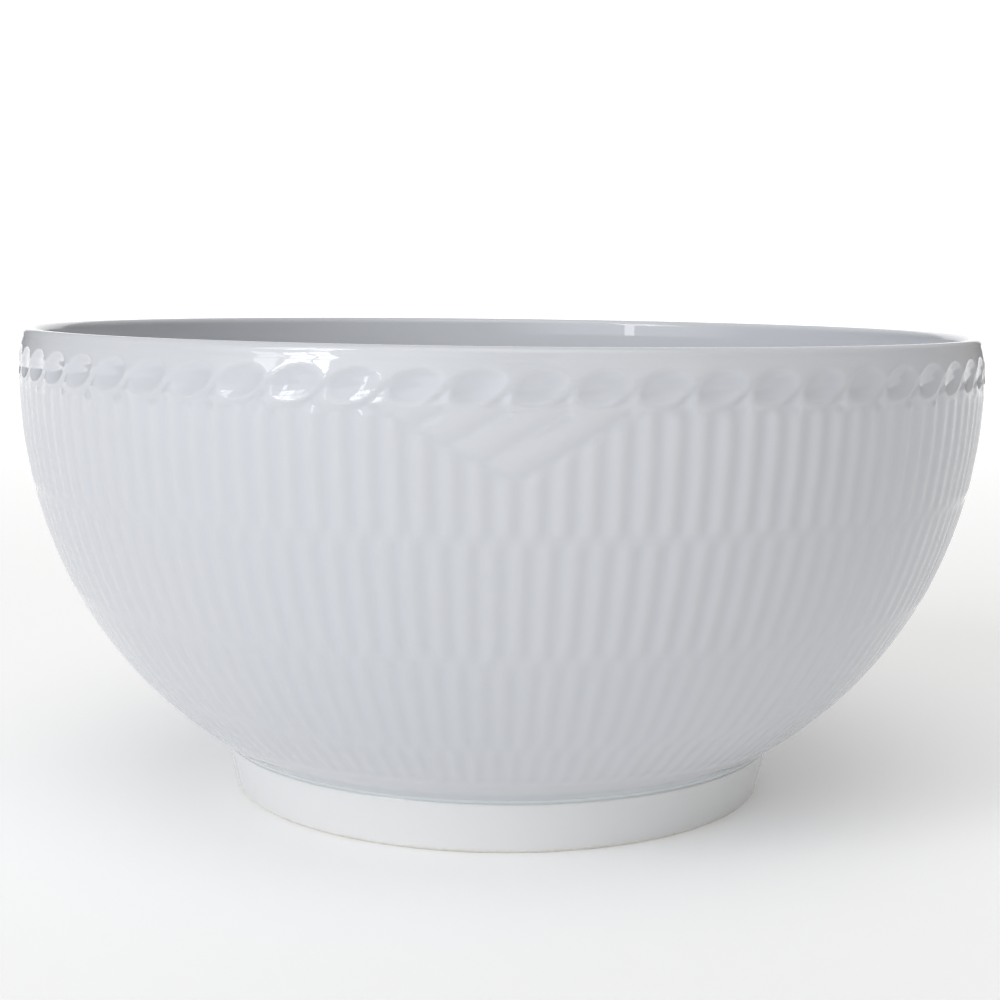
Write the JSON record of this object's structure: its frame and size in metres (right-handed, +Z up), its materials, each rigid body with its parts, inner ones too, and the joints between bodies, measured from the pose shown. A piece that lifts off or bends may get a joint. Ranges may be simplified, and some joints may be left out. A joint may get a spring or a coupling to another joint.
{
  "type": "serving bowl",
  "caption": "Deep round porcelain serving bowl with a fluted relief wall in staggered tiers, a band of chain links under a plain lip and a luted foot ring.",
  "frame": {"origin": "centre of the bowl's axis in the plane that the foot ring stands on", "axes": "+Z up along the bowl's axis of symmetry; the view of the picture looks along +Y"},
  "size_m": [0.24, 0.2398, 0.1166],
  "materials": {
    "glazed_porcelain": "clear gloss glaze over white porcelain",
    "foot_porcelain": "clear gloss glaze, with the bearing edge left as bare matt porcelain",
    "cove_glaze": "clear gloss glaze, pooled and faintly blue"
  },
  "bodies": {
    "root": {"bowl_body": "glazed_porcelain", "foot_ring": "foot_porcelain", "slip_cove": "cove_glaze"}
  },
  "joints": []
}
